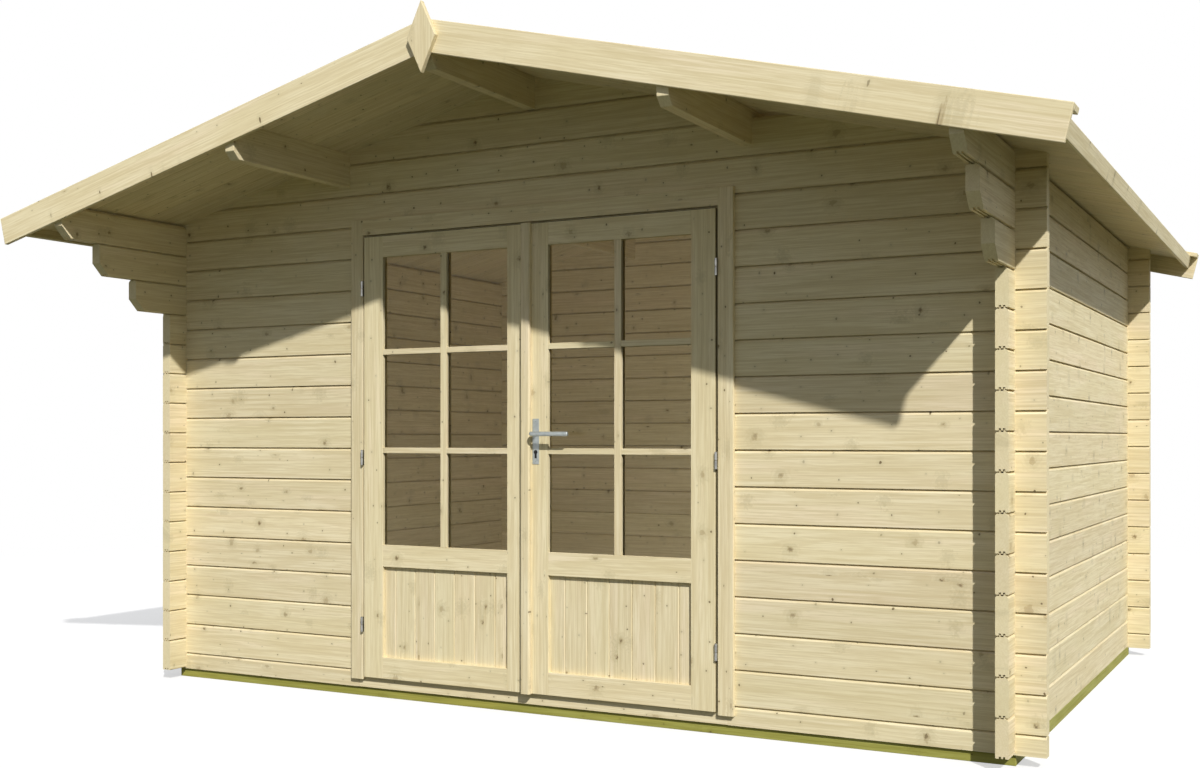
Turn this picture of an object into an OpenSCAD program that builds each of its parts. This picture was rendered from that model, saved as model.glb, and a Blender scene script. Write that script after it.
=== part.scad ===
// Wooden log cabin with double glazed doors, in millimetres.
// Z = 0 is the underside of the ground bearers, the doors face -Y,
// and the origin is the middle of the base of the whole outline.

/* [Walls] */
// Height of one row of logs
row_h = 135; // [125:1:140]
// Thickness of the logs
log_t = 44; // [40:1:50]
// Width over the outer faces of the side walls
house_w = 3780; // [3600:10:4200]
// Depth over the outer faces of the front and rear walls
house_d = 2764; // [2400:2:3400]
// Length of the log ends that run past the crossed corners
corner_over = 103; // [90:1:130]
// Play on each side of a corner notch
notch_play = 0.4; // [0.2:0.1:1]

/* [Log profile] */
// Width of the slope that sheds water outside the tongues
drip_w = 16; // [12:0.5:18]
// Fall of that slope from the tongues to the outer face
drip_h = 5; // [3:0.5:7]
// Bevel along the inner edges of each log
inner_bevel = 4; // [2:0.5:6]
// Bevel along the lower outer edge of each log
lower_bevel = 2.5; // [1:0.5:4]
// Distance between the two tongues
tongue_pitch = 10.5; // [9:0.5:12]
// Distance from the inner face to the nearer tongue
tongue_inset = 10.3; // [9:0.1:12]
// Width of a tongue at its foot
tongue_w = 5; // [4:0.5:6]
// Height of a tongue
tongue_h = 7; // [5:0.5:9]
// Depth of the grooves that the tongues enter
groove_h = 9; // [7.5:0.5:11]
// Play between a tongue and its groove, and between resting logs
joint_play = 0.4; // [0.3:0.1:1]

/* [Bearers] */
// Height of the ground bearers
bearer_h = 45; // [40:1:60]
// Width of the ground bearers
bearer_w = 70; // [60:1:90]
// Distance from the face of the front log to the bearer under it
bearer_back = 6; // [2:1:10]

/* [Roof] */
// Slope of the roof in degrees
roof_pitch = 13.9; // [12:0.1:15]
// Half of the width over the ends of the barge boards and verge caps
roof_half_w = 2200; // [2150:5:2400]
// Reach of the roof in front of the front wall
front_over = 726; // [700:1:760]
// Reach of the roof behind the rear wall
rear_over = 210; // [150:1:260]
// Height of the roof boards over the bearers at the outer face of a side wall
eave_z = 2027; // [2015:1:2040]
// Thickness of the roof boards
board_t = 19; // [16:1:22]
// Width that one roof board covers
board_w = 96; // [85:1:115]
// Depth of the bevelled grooves between the roof boards
board_vee = 3; // [2:0.5:5]
// Thickness of the barge boards and fascias
barge_t = 18; // [16:1:22]
// Height of the front barge boards, square to the slope
barge_h = 115; // [100:1:140]
// Height of the rear barge boards, square to the slope
rear_barge_h = 126; // [100:1:140]
// Thickness of the verge caps, which lie on the roof boards
cap_t = 20; // [16:1:22]
// Width of the verge caps between the barge board and the bare roof
cap_w = 70; // [50:1:100]
// Height of the eaves fascias, square to the slope
fascia_h = 58; // [45:1:70]
// Distance from the ends of the barge boards back to the fascias
fascia_back = 30; // [10:1:50]
// Width of the diamond at the peak of a gable
diamond_w = 120; // [100:1:140]
// Height of the diamond at the peak of a gable
diamond_h = 255; // [220:1:280]
// Height of the diamonds' upper tips over the peak of the verge caps
diamond_rise = 59; // [40:1:80]
// Thickness of the diamond
diamond_t = 20; // [16:1:22]

/* [Purlins] */
// Distance from the middle to each side purlin
purlin_x = 923; // [850:1:1000]
// Height of the side purlins' undersides over the bearers
purlin_z = 2129; // [2110:1:2140]
// Bevel at the lower ends of the purlins
purlin_bevel = 30; // [20:1:50]
// Lengths of the stepped eaves logs in front of the front wall, lowest first
console_reach = [305, 508];
// Bevel at the lower front ends of the stepped eaves logs
console_bevel = 50; // [30:1:60]

/* [Doors] */
// Width of one door leaf
leaf_w = 808; // [780:1:830]
// Height of a leaf's lower edge over the bearers
leaf_low = 38; // [30:1:50]
// Height of a leaf's upper edge over the bearers
leaf_top = 1915; // [1880:1:1925]
// Width of the stiles and rails
rail_w = 95; // [80:1:105]
// Height of the middle rail's lower edge over the bearers
mid_rail_low = 513; // [480:1:540]
// Thickness of the rebated lip that stands in front of the wall
lip_t = 16; // [14:1:18]
// Thickness of the leaf's core, inside the frame
core_t = 24; // [20:1:28]
// Least gap between a leaf and what stands still
leaf_gap = 5; // [5:0.5:7]
// Width of the glazing bars
bar_w = 30; // [24:1:34]
// Width of the boards in the lower panel
panel_board_w = 100; // [90:1:110]
// Width of the jambs
jamb_w = 65; // [60:1:70]
// Width of the cover boards
cover_w = 60; // [55:1:65]
// Thickness of the cover boards
cover_t = 18; // [16:1:20]
// Width of the cover strip where the leaves meet
strip_w = 30; // [26:1:36]
// Thickness of the cover strip where the leaves meet
strip_t = 20; // [16:1:22]

/* [Hardware] */
// Diameter of the hinge knuckles
knuckle_d = 11; // [10:0.5:12]
// Height of a whole hinge
hinge_h = 64; // [60:1:70]
// Height of the lever's axis over the bearers
lever_z = 1071; // [1060:1:1080]
// Length of the lever from its axis to its end
lever_len = 172; // [150:1:180]
// Diameter of the lever
lever_d = 18; // [16:1:20]
// Reach of the lever in front of its plate
lever_reach = 52; // [48:1:60]
// Width of the handle plates
plate_w = 30; // [28:1:32]
// Height of the handle plates
plate_h = 180; // [170:1:190]

/* [Hidden] */
$fn = 48;
half_w = house_w / 2;
half_row = row_h / 2;
wall_z = bearer_h;
side_rows = 15;
console_rows = 3;
door_row = 14;
door_head = (door_row + 0.5) * row_h;
wall_y = -(rear_over + house_d - front_over) / 2;
slope = tan(roof_pitch);
roof_z = wall_z + eave_z + half_w * slope;
roof_front = -front_over + barge_t;
roof_rear = house_d + rear_over - barge_t;
roof_top = board_t + cap_t;
slope_len = (roof_half_w - roof_top * sin(roof_pitch)) / cos(roof_pitch);
fascia_out = slope_len - fascia_back;
fascia_in = fascia_out - barge_t;
gable_rows = ceil((roof_z - wall_z) / row_h - 0.5);
mitre_gap = 0.5;
leaf_half_gap = 3;
leaf_edge = leaf_half_gap + leaf_w;
lip_front = -leaf_gap - lip_t;
core_back = core_t - leaf_gap;
jamb_x = leaf_edge - 26;
opening_half = jamb_x + jamb_w;
head_z = wall_z + leaf_top - 30;
core_edge = jamb_x - 6;
core_low = wall_z + half_row + 7.5;
glass_x0 = leaf_half_gap + 92;
glass_x1 = leaf_edge - 100;
glass_z0 = wall_z + mid_rail_low + 92;
glass_z1 = wall_z + leaf_top - 99;
glass_t = 4;
panel_z0 = wall_z + leaf_low + 93;
panel_z1 = wall_z + mid_rail_low;
panel_t = 14;
groove_d = 8;
cover_x = leaf_edge + 9;
hinge_x = leaf_edge + 4.5;
hinge_y = lip_front - 6;
hinge_zs = [wall_z + 265, wall_z + 972, wall_z + 1688];
handle_x = 39;
plate_t = 2;

LOG = [0.87, 0.79, 0.60];
BOARD = [0.90, 0.82, 0.62];
GREEN = [0.56, 0.58, 0.22];
METAL = [0.62, 0.65, 0.67];
ZINC = [0.55, 0.55, 0.53];
GLASS = [0.70, 0.78, 0.78, 0.4];

// ---- placing and profiles ----

// Underside of the roof boards at a distance from the middle
function under(x) = roof_z - abs(x) * slope;

// Moves from the front wall's outer face to the shared origin
module sited() {
    translate([0, wall_y, 0]) children();
}

module box(low, high) {
    translate(low) cube(high - low);
}

// A profile drawn as [y, z] and run along X
module along_x(x0, x1) {
    translate([x0, 0, 0]) rotate([90, 0, 90]) linear_extrude(x1 - x0) children();
}

// A profile drawn as [x, z] and run along Y
module along_y(y0, y1) {
    translate([0, y1, 0]) rotate([90, 0, 0]) linear_extrude(y1 - y0) children();
}

// Where the tongues stand, from the outer face
tongues = [log_t - tongue_inset - tongue_pitch, log_t - tongue_inset];

// One log seen on end, outer face at 0: double tongues above, grooves below
module log_profile() {
    top = row_h - joint_play;
    foot = tongue_w / 2;
    tip = foot - 0.8;
    slot = foot + joint_play;
    polygon(concat(
        [[0, lower_bevel], [lower_bevel, 0]],
        [for (y = tongues) each [[y - slot, 0], [y - slot, groove_h],
                                 [y + slot, groove_h], [y + slot, 0]]],
        [[log_t - inner_bevel, 0], [log_t, inner_bevel], [log_t, top - inner_bevel],
         [log_t - inner_bevel, top]],
        [for (i = [1, 0]) each [[tongues[i] + foot, top], [tongues[i] + tip, top + tongue_h],
                                [tongues[i] - tip, top + tongue_h], [tongues[i] - foot, top]]],
        [[drip_w, top], [1.5, top - drip_h], [0, top - drip_h - 1.5]]));
}

// Logs laid on each other, counted from the bearers in rows, and raised by a part of a row
module log_stack(row0, row1, shift) {
    for (n = [row0 : row1 - 1]) translate([0, wall_z + (n + shift) * row_h]) log_profile();
}

// Notches that let the crossing logs through, at half rows from a shift
module corner_notches(x0, x1, y0, y1, shift, rows) {
    for (n = [0 : rows]) {
        z = wall_z + (n + shift) * row_h;
        box([x0, y0, z - row_h / 4 - notch_play], [x1, y1, z + row_h / 4 + notch_play]);
    }
}

// Everything above the roof boards' underside
module above_roof(y0, y1) {
    top = roof_z + 400;
    x = roof_half_w + 50;
    along_y(y0, y1) polygon([[0, roof_z], [x, under(x)], [x, top], [-x, top], [-x, under(x)]]);
}

// Places children on the right slope: X down the slope, Z square to it
module on_slope() {
    translate([0, 0, roof_z]) rotate([0, roof_pitch, 0]) children();
}

module both_sides() {
    children();
    mirror([1, 0, 0]) children();
}

module to_rear() {
    translate([0, house_d, 0]) mirror([0, 1, 0]) children();
}

// ---- ground bearers ----

module front_bearer() {
    sited() color(GREEN) box([-half_w, bearer_back, 0], [half_w, bearer_w, bearer_h]);
}

module rear_bearer() {
    sited() color(GREEN) box([-half_w, house_d - bearer_w, 0],
                             [half_w, house_d - bearer_back, bearer_h]);
}

module side_bearer() {
    sited() color(GREEN) box([half_w - bearer_w, bearer_w, 0],
                             [half_w, house_d - bearer_w, bearer_h]);
}

module right_bearer() {
    side_bearer();
}

module left_bearer() {
    mirror([1, 0, 0]) side_bearer();
}

// ---- log walls ----

// Notches for both side walls in a wall that runs along X
module side_notches() {
    both_sides() corner_notches(half_w - log_t - notch_play, half_w + notch_play,
                                -1, log_t + 1, 0.5, side_rows);
}

module cross_wall(row0, row1, x0, x1) {
    difference() {
        along_x(x0, x1) log_stack(row0, row1, 0.5);
        side_notches();
        // the lowest log is sawn in half lengthwise
        if (row0 < 0) box([x0 - 1, -1, wall_z - row_h], [x1 + 1, log_t + 1, wall_z]);
    }
}

module gable() {
    purlin_half = log_t / 2 + notch_play;
    purlin_row = 16.5;
    difference() {
        along_x(-half_w - corner_over, half_w + corner_over) log_stack(door_row, gable_rows, 0.5);
        side_notches();
        above_roof(-10, log_t + 10);
        box([-purlin_half, -1, wall_z + (gable_rows - 0.5) * row_h - notch_play],
            [purlin_half, log_t + 1, roof_z + 10]);
        both_sides() {
            box([purlin_x - purlin_half, -1, wall_z + purlin_z - notch_play],
                [purlin_x + purlin_half, log_t + 1, roof_z]);
            // the row over the side purlins ends at them
            box([purlin_x, -1, wall_z + purlin_row * row_h - joint_play],
                [purlin_x + row_h, log_t + 1, roof_z]);
        }
    }
}

module front_sill_log() {
    sited() color(LOG) difference() {
        cross_wall(-1, 0, -half_w - corner_over, half_w + corner_over);
        // no tongues or slope where the log is the doorway's threshold
        box([-opening_half, -1, wall_z + half_row - joint_play],
            [opening_half, log_t + 1, wall_z + row_h]);
    }
}

module front_wall_half() {
    sited() color(LOG) cross_wall(0, door_row, opening_half, half_w + corner_over);
}

module front_wall_right() {
    front_wall_half();
}

module front_wall_left() {
    mirror([1, 0, 0]) front_wall_half();
}

module front_gable() {
    sited() color(LOG) gable();
}

module rear_wall() {
    sited() color(LOG) to_rear()
        cross_wall(-1, door_row, -half_w - corner_over, half_w + corner_over);
}

module rear_gable() {
    sited() color(LOG) to_rear() gable();
}

// Notches for the front and rear walls in a wall that runs along Y
module end_notches() {
    for (y = [0, house_d - log_t])
        corner_notches(-half_w - 1, -half_w + log_t + 1, y - notch_play, y + log_t + notch_play,
                       0, side_rows + 1);
}

module side_wall() {
    sited() color(LOG) difference() {
        translate([-half_w, 0, 0])
            along_y(-corner_over, house_d + corner_over)
                log_stack(0, side_rows - console_rows, 0);
        end_notches();
    }
}

module left_wall() {
    side_wall();
}

module right_wall() {
    mirror([1, 0, 0]) side_wall();
}

// A wedge that bevels the lower end of a log at y, on the side that dir points to
module end_bevel(x0, x1, y, z, size, dir) {
    along_x(x0, x1) polygon([[y - dir * size, z - 1], [y + dir, z - 1], [y + dir, z + size + 1]]);
}

// Top three rows of a side wall, which step out in front to carry the roof
module eave_logs() {
    reach = concat(console_reach, [-roof_front]);
    first = side_rows - console_rows;
    sited() color(LOG) difference() {
        translate([-half_w, 0, 0]) {
            for (i = [0 : console_rows - 1])
                along_y(-reach[i], i == console_rows - 1 ? roof_rear : house_d + corner_over)
                    log_stack(first + i, first + i + 1, 0);
        }
        for (i = [0 : console_rows - 1])
            end_bevel(-half_w - 1, -half_w + log_t + 1, -reach[i], wall_z + (first + i) * row_h,
                      console_bevel, -1);
        end_notches();
        above_roof(-front_over, roof_rear + 10);
    }
}

module left_eave_logs() {
    eave_logs();
}

module right_eave_logs() {
    mirror([1, 0, 0]) eave_logs();
}

// ---- roof ----

module purlin(x, z) {
    half = log_t / 2;
    top = x == 0 ? [[half, under(half)], [0, roof_z], [-half, under(half)]]
                 : [[x + half, under(x + half)], [x - half, under(x - half)]];
    sited() color(LOG) difference() {
        along_y(roof_front, roof_rear) polygon(concat([[x - half, z], [x + half, z]], top));
        end_bevel(x - half - 1, x + half + 1, roof_front, z, purlin_bevel, -1);
        end_bevel(x - half - 1, x + half + 1, roof_rear, z, purlin_bevel, 1);
    }
}

module ridge_purlin() {
    purlin(0, wall_z + (gable_rows - 0.5) * row_h);
}

module right_purlin() {
    purlin(purlin_x, wall_z + purlin_z);
}

module left_purlin() {
    mirror([1, 0, 0]) right_purlin();
}

// Cuts what stands on the right slope plumb at the ridge
module ridge_mitre() {
    difference() {
        on_slope() children();
        box([-200, -front_over - 1, 0], [mitre_gap, house_d + rear_over + 1, roof_z + 200]);
    }
}

// A strip of the right slope from p0 to p1 over the boards' underside
module slope_strip(p0, p1, y0, y1, len) {
    ridge_mitre() box([-60, y0, p0], [len, y1, p1]);
}

// Boards seen on end, laid side by side, with a bevelled groove under each joint
module roof_board_profile() {
    joints = [for (y = [roof_front + board_w : board_w : roof_rear - 20]) y];
    polygon(concat([[roof_front, 0]],
                   [for (y = joints) each [[y - board_vee, 0], [y, board_vee],
                                           [y + board_vee, 0]]],
                   [[roof_rear, 0], [roof_rear, board_t], [roof_front, board_t]]));
}

module right_roof_boards() {
    sited() color(BOARD) ridge_mitre() along_x(-60, fascia_in) roof_board_profile();
}

module left_roof_boards() {
    mirror([1, 0, 0]) right_roof_boards();
}

module eave_fascias() {
    sited() color(BOARD) both_sides() on_slope()
        box([fascia_in, roof_front, board_t - fascia_h], [fascia_out, roof_rear, board_t]);
}

module barge_boards(y, height) {
    both_sides() slope_strip(roof_top - height, roof_top, y, y + barge_t, slope_len);
}

module verge_caps(y) {
    both_sides() slope_strip(board_t, roof_top, y, y + cap_w, slope_len);
}

module front_barge_boards() {
    sited() color(BOARD) barge_boards(-front_over, barge_h);
}

module rear_barge_boards() {
    sited() color(BOARD) barge_boards(roof_rear, rear_barge_h);
}

module front_verge_caps() {
    sited() color(BOARD) verge_caps(roof_front);
}

module rear_verge_caps() {
    sited() color(BOARD) verge_caps(roof_rear - cap_w);
}

module gable_diamonds() {
    mid_z = roof_z + roof_top / cos(roof_pitch) + diamond_rise - diamond_h / 2;
    half_h = diamond_h / 2;
    for (y = [-front_over - diamond_t, house_d + rear_over])
        sited() color(BOARD) along_y(y, y + diamond_t)
            polygon([[0, mid_z - half_h], [diamond_w / 2, mid_z], [0, mid_z + half_h],
                     [-diamond_w / 2, mid_z]]);
}

// ---- door frame ----

module right_jamb() {
    sited() color(BOARD) box([jamb_x, 0, wall_z + half_row],
                             [opening_half, log_t + cover_t, wall_z + door_head]);
}

module left_jamb() {
    mirror([1, 0, 0]) right_jamb();
}

module door_head_jamb() {
    sited() color(BOARD) box([-jamb_x, 0, head_z], [jamb_x, log_t + cover_t, wall_z + door_head]);
}

module right_cover_board() {
    sited() color(BOARD) box([cover_x, -cover_t, wall_z + 29],
                             [cover_x + cover_w, 0, wall_z + leaf_top + 7 + cover_w]);
}

module left_cover_board() {
    mirror([1, 0, 0]) right_cover_board();
}

module head_cover_board() {
    z = wall_z + leaf_top + 7;
    sited() color(BOARD) box([-cover_x, -cover_t, z], [cover_x, 0, z + cover_w]);
}

// ---- door leaves, drawn as the right leaf ----

module leaf_frame() {
    difference() {
        union() {
            box([leaf_half_gap, lip_front, wall_z + leaf_low],
                [leaf_edge, -leaf_gap, wall_z + leaf_top]);
            box([leaf_half_gap + 2.5, -leaf_gap, core_low], [core_edge, core_back, head_z - 6]);
        }
        box([glass_x0, lip_front - 1, glass_z0], [glass_x1, core_back + 1, glass_z1]);
        box([glass_x0, lip_front - 1, panel_z0], [glass_x1, core_back + 1, panel_z1]);
        box([glass_x0 - groove_d, -leaf_gap, glass_z0 - groove_d],
            [glass_x1 + groove_d, -leaf_gap + glass_t, glass_z1 + groove_d]);
        box([glass_x0 - groove_d, -leaf_gap, panel_z0 - groove_d],
            [glass_x1 + groove_d, -leaf_gap + panel_t, panel_z1 + groove_d]);
        // sloped ledge that sheds water from the lower panel
        along_x(glass_x0, glass_x1)
            polygon([[lip_front - 1, panel_z0 - lip_t - 1], [-leaf_gap, panel_z0],
                     [-leaf_gap, panel_z0 + 1], [lip_front - 1, panel_z0 + 1]]);
    }
}

module glazing_bars() {
    mid_x = (glass_x0 + glass_x1) / 2;
    pane_h = (glass_z1 - glass_z0 - 2 * bar_w) / 3;
    for (y = [[lip_front, -leaf_gap], [-leaf_gap + glass_t, core_back - 4]]) {
        box([mid_x - bar_w / 2, y[0], glass_z0], [mid_x + bar_w / 2, y[1], glass_z1]);
        for (i = [1, 2]) {
            z = glass_z0 + i * pane_h + (i - 1) * bar_w;
            box([glass_x0, y[0], z], [glass_x1, y[1], z + bar_w]);
        }
    }
}

module glazing() {
    box([glass_x0 - groove_d, -leaf_gap, glass_z0 - groove_d],
        [glass_x1 + groove_d, -leaf_gap + glass_t, glass_z1 + groove_d]);
}

module lower_panel() {
    vee = 3;
    x0 = glass_x0 - groove_d;
    x1 = glass_x1 + groove_d;
    joints = [for (x = [x0 + 60 : panel_board_w : x1 - 20]) x];
    front = [for (x = joints) each [[x - vee, 0], [x, vee], [x + vee, 0]]];
    back = [for (i = [len(joints) - 1 : -1 : 0])
            each [[joints[i] + vee, panel_t], [joints[i], panel_t - vee],
                  [joints[i] - vee, panel_t]]];
    translate([0, -leaf_gap, panel_z0 - groove_d])
        linear_extrude(panel_z1 - panel_z0 + 2 * groove_d)
            polygon(concat([[x0, 0]], front, [[x1, 0], [x1, panel_t]], back, [[x0, panel_t]]));
}

// Upper halves of the hinges, fixed to the leaf, with blind bores for the pins
module leaf_hinges() {
    half = (hinge_h - 2) / 2;
    for (z = hinge_zs) {
        difference() {
            union() {
                translate([hinge_x, hinge_y, z + 1]) cylinder(d = knuckle_d, h = half);
                box([leaf_edge, hinge_y, z + 1], [leaf_edge + 2, -leaf_gap - 2, z + 1 + half]);
            }
            translate([hinge_x, hinge_y, z]) cylinder(d = 5.3, h = half - 4);
        }
    }
}

// Lower halves of the hinges, fixed to the cover boards, with their pins
module fixed_hinges() {
    half = (hinge_h - 2) / 2;
    for (z = hinge_zs) {
        translate([hinge_x, hinge_y, z - 1 - half]) cylinder(d = knuckle_d, h = half);
        translate([hinge_x, hinge_y, z - 2]) cylinder(d = 5, h = half - 4);
        box([cover_x - 2, hinge_y, z - 1 - half], [cover_x, -2, z - 1]);
    }
}

module frame_hinges() {
    sited() color(ZINC) both_sides() fixed_hinges();
}

module right_door_frame() {
    sited() color(BOARD) difference() {
        leaf_frame();
        lock_bores(lip_front - 1, core_back + 1);
    }
}

module right_door_bars() {
    sited() color(BOARD) glazing_bars();
}

module right_door_glass() {
    sited() color(GLASS) glazing();
}

module right_door_panel() {
    sited() color(BOARD) lower_panel();
}

module right_door_hinges() {
    sited() color(ZINC) leaf_hinges();
}

module left_door_frame() {
    sited() color(BOARD) mirror([1, 0, 0]) leaf_frame();
}

module left_door_bars() {
    mirror([1, 0, 0]) right_door_bars();
}

module left_door_glass() {
    mirror([1, 0, 0]) right_door_glass();
}

module left_door_panel() {
    mirror([1, 0, 0]) right_door_panel();
}

module left_door_hinges() {
    mirror([1, 0, 0]) right_door_hinges();
}

// Strip on the right leaf that stands over the edge of the left one
module door_cover_strip() {
    half = strip_w / 2;
    front = lip_front - strip_t;
    bevel = 5;
    sited() color(BOARD)
        translate([0, 0, wall_z + leaf_low])
            linear_extrude(leaf_top - leaf_low)
                polygon([[-half, lip_front - leaf_gap], [-half, front + bevel],
                         [-half + bevel, front], [half - bevel, front], [half, front + bevel],
                         [half, lip_front], [leaf_half_gap, lip_front],
                         [leaf_half_gap, lip_front - leaf_gap]]);
}

// ---- handle ----

// Holes for the spindle and the lock cylinder, from y0 to y1
module lock_bores(y0, y1) {
    key_z = lever_z - 72;
    translate([handle_x, y1, wall_z + lever_z]) rotate([90, 0, 0]) cylinder(d = 9, h = y1 - y0);
    translate([handle_x, y1, wall_z + key_z]) rotate([90, 0, 0]) cylinder(d = 17, h = y1 - y0);
    box([handle_x - 5, y0, wall_z + key_z - 25], [handle_x + 5, y1, wall_z + key_z]);
}

module rounded_plate(w, h, r) {
    square([w - 2 * r, h], center = true);
    square([w, h - 2 * r], center = true);
    for (x = [-1, 1], y = [-1, 1])
        translate([x * (w / 2 - r), y * (h / 2 - r)]) circle(r);
}

module handle_plates() {
    plate_z = wall_z + lever_z - 30;
    sited() color(METAL) difference() {
        for (y = [lip_front - plate_t, core_back])
            translate([handle_x, 0, plate_z]) along_y(y, y + plate_t)
                rounded_plate(plate_w, plate_h, 3);
        lock_bores(lip_front - 10, core_back + 10);
    }
}

// One lever: a neck out from the door, a quarter bend and the grip
module lever_arm() {
    bend_r = 20;
    r = lever_d / 2;
    rotate([90, 0, 0]) cylinder(r = r, h = lever_reach - bend_r - r);
    translate([bend_r, -(lever_reach - bend_r - r), 0])
        rotate([0, 0, 180]) rotate_extrude(angle = 90) translate([bend_r, 0]) circle(r);
    translate([bend_r, -(lever_reach - r), 0]) rotate([0, 90, 0])
        cylinder(r = r, h = lever_len - bend_r);
}

module door_lever() {
    z = wall_z + lever_z;
    out = lip_front - plate_t - 1;
    back = core_back + plate_t + 1;
    sited() color(METAL) {
        translate([handle_x, out, z]) lever_arm();
        translate([handle_x, back, z]) mirror([0, 1, 0]) lever_arm();
        translate([handle_x, back + 1, z]) rotate([90, 0, 0]) cylinder(d = 8, h = back - out + 2);
    }
}

front_bearer();
rear_bearer();
left_bearer();
right_bearer();
front_sill_log();
front_wall_left();
front_wall_right();
front_gable();
rear_wall();
rear_gable();
left_wall();
right_wall();
left_eave_logs();
right_eave_logs();
ridge_purlin();
left_purlin();
right_purlin();
left_roof_boards();
right_roof_boards();
eave_fascias();
front_barge_boards();
rear_barge_boards();
front_verge_caps();
rear_verge_caps();
gable_diamonds();
left_jamb();
right_jamb();
door_head_jamb();
left_cover_board();
right_cover_board();
head_cover_board();
frame_hinges();
left_door_frame();
left_door_bars();
left_door_glass();
left_door_panel();
left_door_hinges();
right_door_frame();
right_door_bars();
right_door_glass();
right_door_panel();
right_door_hinges();
door_cover_strip();
handle_plates();
door_lever();
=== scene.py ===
import math
import random

import bmesh
import bpy
from mathutils import Matrix, Vector


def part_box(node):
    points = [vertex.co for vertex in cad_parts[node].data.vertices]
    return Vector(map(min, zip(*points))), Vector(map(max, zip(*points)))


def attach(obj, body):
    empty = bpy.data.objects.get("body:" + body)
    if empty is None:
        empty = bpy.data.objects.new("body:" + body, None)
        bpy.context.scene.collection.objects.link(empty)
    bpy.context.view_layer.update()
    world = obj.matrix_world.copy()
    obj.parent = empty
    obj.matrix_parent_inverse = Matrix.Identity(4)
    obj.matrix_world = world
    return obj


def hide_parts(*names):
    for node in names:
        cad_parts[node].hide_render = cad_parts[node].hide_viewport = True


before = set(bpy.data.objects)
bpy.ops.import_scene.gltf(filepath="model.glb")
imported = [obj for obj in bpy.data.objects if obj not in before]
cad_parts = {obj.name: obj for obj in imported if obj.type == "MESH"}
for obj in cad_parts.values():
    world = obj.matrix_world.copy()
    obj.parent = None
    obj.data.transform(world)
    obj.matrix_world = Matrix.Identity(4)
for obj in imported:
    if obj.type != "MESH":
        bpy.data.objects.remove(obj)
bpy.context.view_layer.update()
rng = random.Random(11)
east, north, up = (Vector(row) for row in Matrix.Identity(3))  # X, Y and Z
tiny = 1e-6  # places closer than this are the same
print("cabin: frame loaded")


# helpers for shader nodes

def addNode(tree, kind, **settings):
    node = tree.nodes.new("ShaderNode" + kind)
    for key, value in settings.items():
        setattr(node, key, value)
    return node


def setInput(tree, socket, value):
    if isinstance(value, bpy.types.NodeSocket):
        tree.links.new(value, socket)
    elif value is not None:
        socket.default_value = value


def setInputs(tree, node, values):
    for name, value in values.items():
        setInput(tree, node.inputs[name], value)


def mathStep(tree, operation, a, b=None, c=None):
    node = addNode(tree, "Math", operation=operation)
    for socket, value in zip(node.inputs, (a, b, c)):
        setInput(tree, socket, value)
    return node.outputs[0]


def times(tree, a, b):
    return mathStep(tree, "MULTIPLY", a, b)


def vectorStep(tree, operation, a, b=None, out=0):
    node = addNode(tree, "VectorMath", operation=operation)
    for socket, value in zip(node.inputs, (a, b)):
        setInput(tree, socket, value)
    return node.outputs[out]


def remap(tree, value, low, high, toLow=0.0, toHigh=1.0, smooth=True):
    node = addNode(tree, "MapRange", interpolation_type="SMOOTHSTEP" if smooth else "LINEAR")
    for socket, entry in zip(node.inputs, (value, low, high, toLow, toHigh)):
        setInput(tree, socket, entry)
    return node.outputs[0]


def mixColour(tree, factor, a, b):
    node = addNode(tree, "Mix", data_type="RGBA")
    for index, value in ((0, factor), (6, a), (7, b)):
        setInput(tree, node.inputs[index], value)
    return node.outputs[2]


def noiseAt(tree, vector, stretch, detail=2.0, roughness=0.55):
    node = addNode(tree, "TexNoise", noise_dimensions="3D")
    setInputs(tree, node, {"Scale": 1.0, "Detail": detail, "Roughness": roughness,
                           "Vector": vectorStep(tree, "MULTIPLY", vector, stretch)})
    return node.outputs[0]


def addBump(tree, shader, height, strength, distance):
    bump = addNode(tree, "Bump")
    setInputs(tree, bump, {"Strength": strength, "Distance": distance, "Height": height})
    tree.links.new(bump.outputs[0], shader.inputs["Normal"])


def backdropRays(tree):
    # 1 for camera rays and those through glass or off a glossy surface: they see a white backdrop
    path = addNode(tree, "LightPath")
    camera, through, glossy = (path.outputs["Is " + kind + " Ray"]
                               for kind in ("Camera", "Transmission", "Glossy"))
    return mathStep(tree, "MAXIMUM", mathStep(tree, "MAXIMUM", camera, through), glossy)


def mixSurfaces(tree, factor, first, second):
    # the material's surface: the first where the factor is 0, the second where it is 1
    both = addNode(tree, "MixShader")
    for socket, source in zip(both.inputs, (factor, first.outputs[0], second.outputs[0])):
        tree.links.new(source, socket)
    tree.links.new(both.outputs[0], tree.nodes["Material Output"].inputs["Surface"])


def newMaterial(name):
    material = bpy.data.materials.new(name)
    material.use_nodes = True
    return material, material.node_tree, material.node_tree.nodes["Principled BSDF"]


# wood: a board carries its place in its tree as "grain", with X along the trunk and 0 at the pith

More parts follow.
